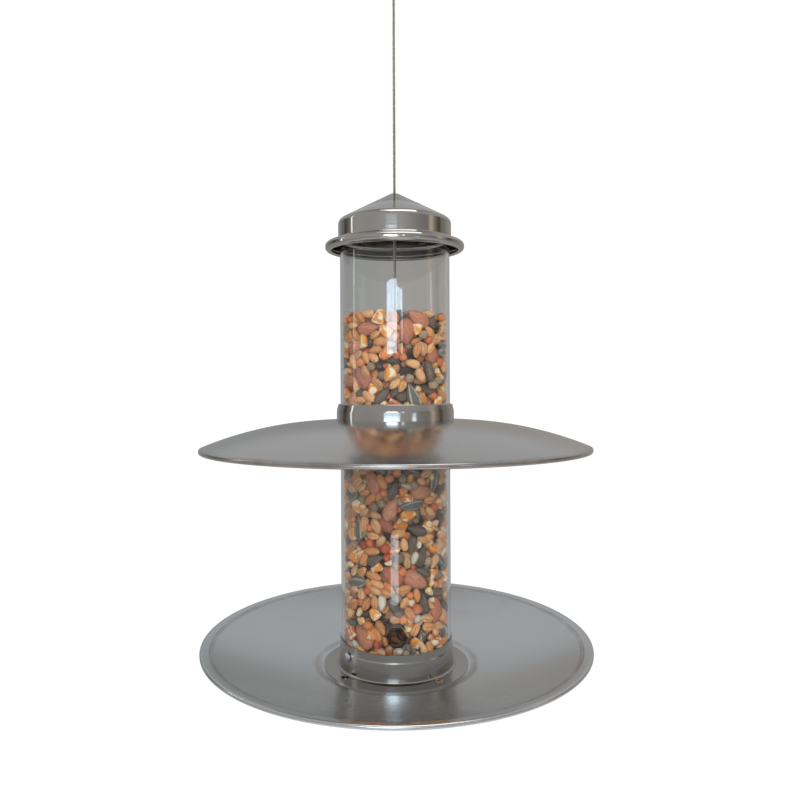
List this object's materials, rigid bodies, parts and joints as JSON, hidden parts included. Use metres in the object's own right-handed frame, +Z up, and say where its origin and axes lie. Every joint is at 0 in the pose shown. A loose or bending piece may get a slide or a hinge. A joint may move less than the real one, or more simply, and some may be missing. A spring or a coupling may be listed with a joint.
{
  "type": "hanging bird feeder",
  "caption": "Clear tube seed feeder hung on a steel cable, with a conical sliding lid, a wide domed rain roof and a wide seed tray.",
  "frame": {"origin": "the point inside the suspension eye where a hook bears", "axes": "+Z up along the cable and the tube's axis, -Y towards the front, where the first feeding port is, +X to the right"},
  "size_m": [0.2784, 0.2784, 0.5355],
  "materials": {
    "satin_steel": "satin",
    "polished_steel": "polished",
    "fastener_steel": "bright",
    "rivet_metal": "dull",
    "stranded_steel": "weathered",
    "clear_acrylic": "clear",
    "grip_rubber": "matte",
    "seed_mix": "matte"
  },
  "bodies": {
    "root": {"seed_tube": "clear_acrylic", "seed_fill": "seed_mix", "base_ring": "satin_steel", "tray": "satin_steel", "tube_screw_1": "fastener_steel", "tube_screw_2": "fastener_steel", "tube_nut_1": "fastener_steel", "tube_nut_2": "fastener_steel", "tray_rivet_1": "rivet_metal", "tray_rivet_2": "rivet_metal", "stop_washer": "fastener_steel", "cable_stop": "fastener_steel", "suspension_cable": "stranded_steel", "eye_ferrule": "fastener_steel", "eye_thimble": "fastener_steel"},
    "roof": {"roof_dome": "satin_steel", "roof_collar": "polished_steel", "roof_grip_ring": "grip_rubber"},
    "lid": {"lid_shell": "polished_steel"}
  },
  "joints": [
    {"name": "lid_slide", "type": "slide", "parent": "root", "child": "lid", "axis": [0, 0, 1], "range_m": [0, 0.142]},
    {"name": "roof_slide", "type": "slide", "parent": "root", "child": "roof", "axis": [0, 0, 1], "range_m": [-0.12, 0.1]}
  ]
}
